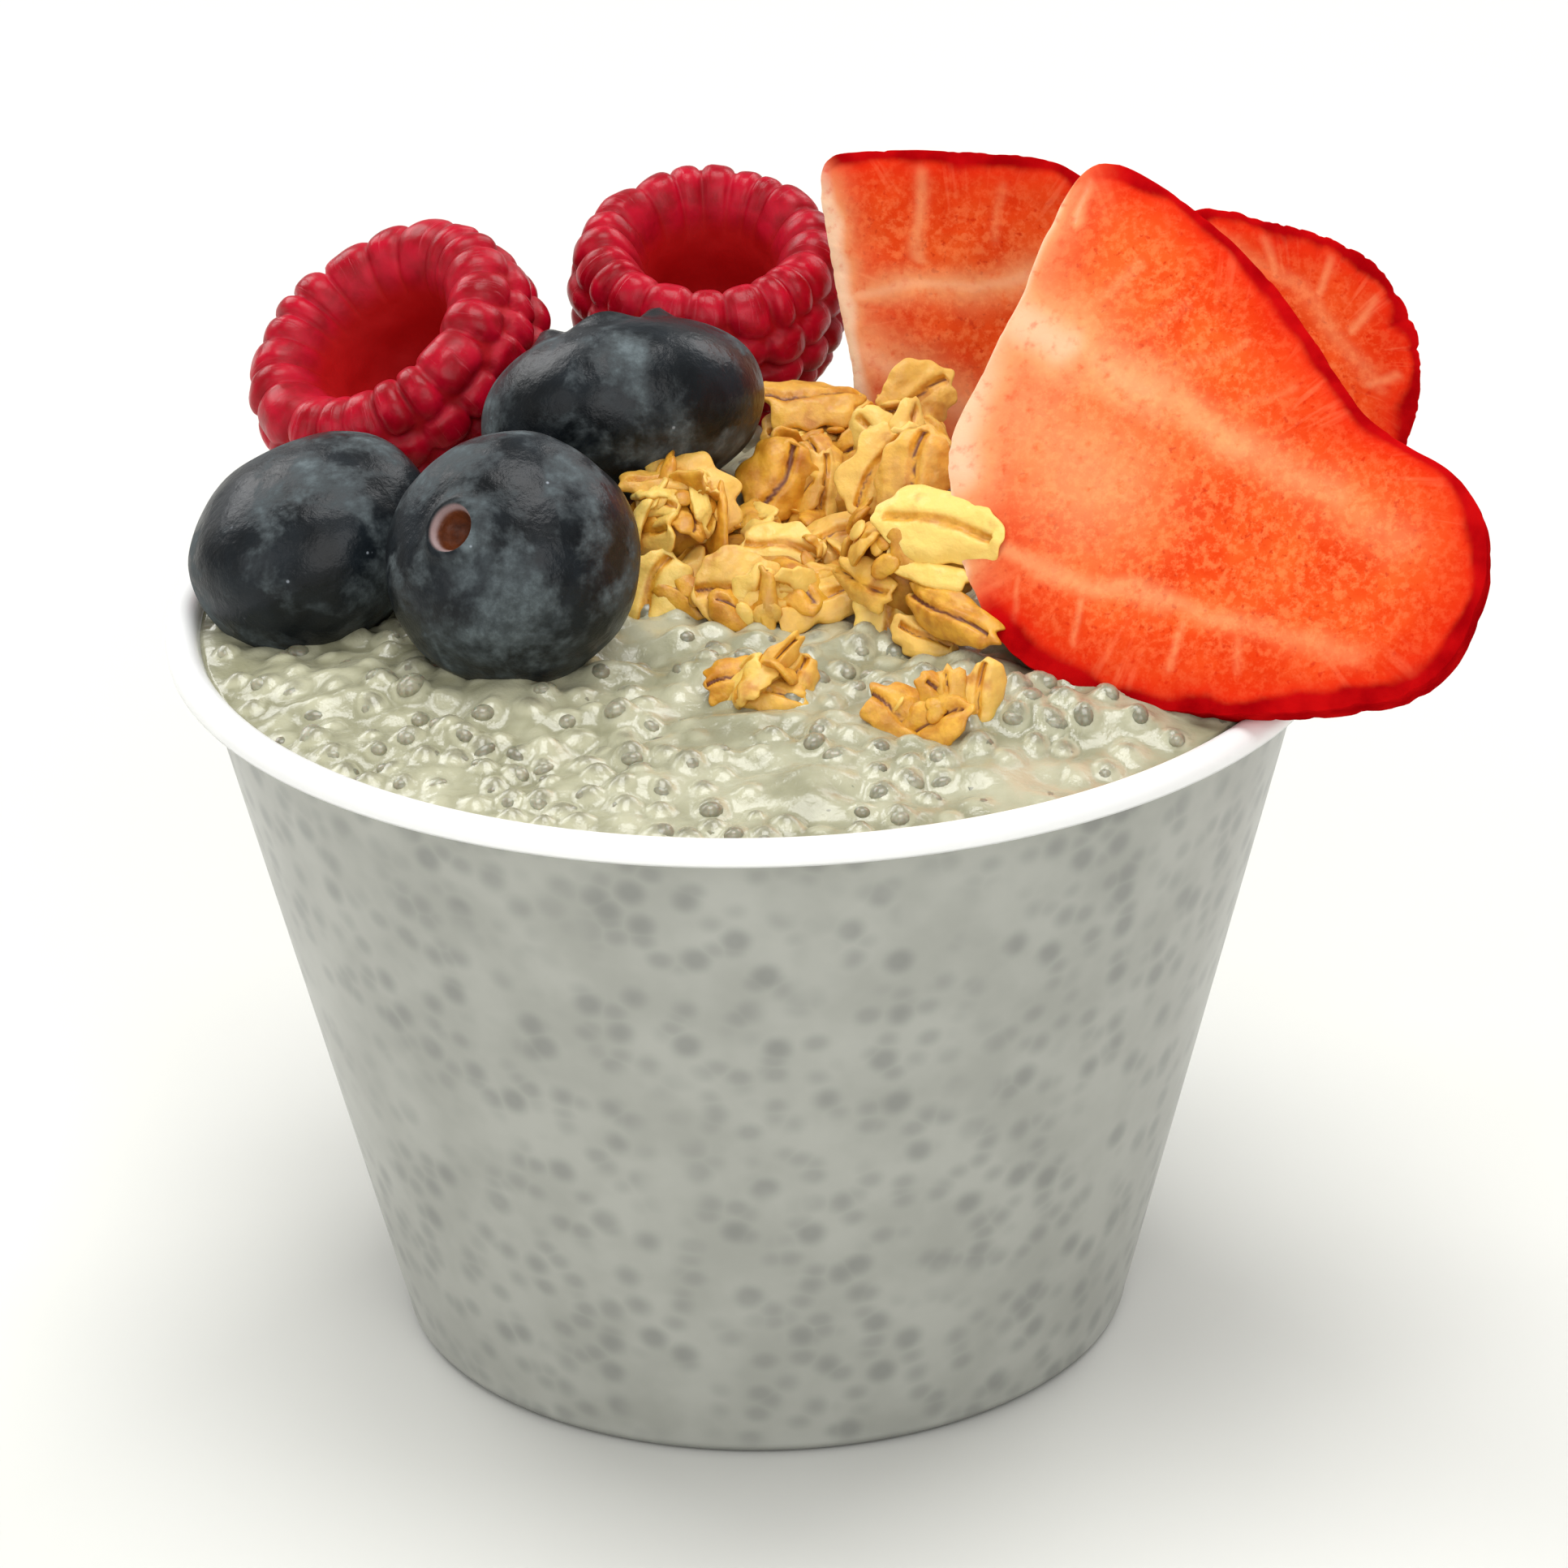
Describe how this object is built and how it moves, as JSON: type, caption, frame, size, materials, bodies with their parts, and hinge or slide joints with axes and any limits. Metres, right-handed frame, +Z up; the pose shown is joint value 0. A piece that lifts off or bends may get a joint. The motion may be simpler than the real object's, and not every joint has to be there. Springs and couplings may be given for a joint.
{
  "type": "chia pudding",
  "caption": "Tapered portion cup with a rolled lip, filled with chia pudding and heaped with raspberries, blueberries, cut strawberry and oat granola.",
  "frame": {"origin": "centre of the cup's flat base", "axes": "+Z up, +X to the right of the cup, -Y towards its front, where the granola and the front strawberry slice are seen"},
  "size_m": [0.0829, 0.0768, 0.0766],
  "materials": {
    "cup_plastic": "thin hazy translucent plastic, smooth",
    "pudding": "pale grey gel full of soaked seeds, moist",
    "strawberry": "moist cut fruit with a darker skin",
    "raspberry": "soft fruit, slightly glossy",
    "blueberry": "dark skin with a pale dusty bloom",
    "granola": "toasted oat flakes, matt with a light glaze"
  },
  "bodies": {
    "root": {"cup": "cup_plastic", "pudding": "pudding", "strawberry_front": "strawberry", "strawberry_back_left": "strawberry", "strawberry_back_right": "strawberry", "raspberry_left": "raspberry", "raspberry_right": "raspberry", "blueberry_left": "blueberry", "blueberry_front": "blueberry", "blueberry_back": "blueberry", "granola_heap": "granola", "granola_cluster_near": "granola", "granola_cluster_right": "granola"}
  },
  "joints": []
}
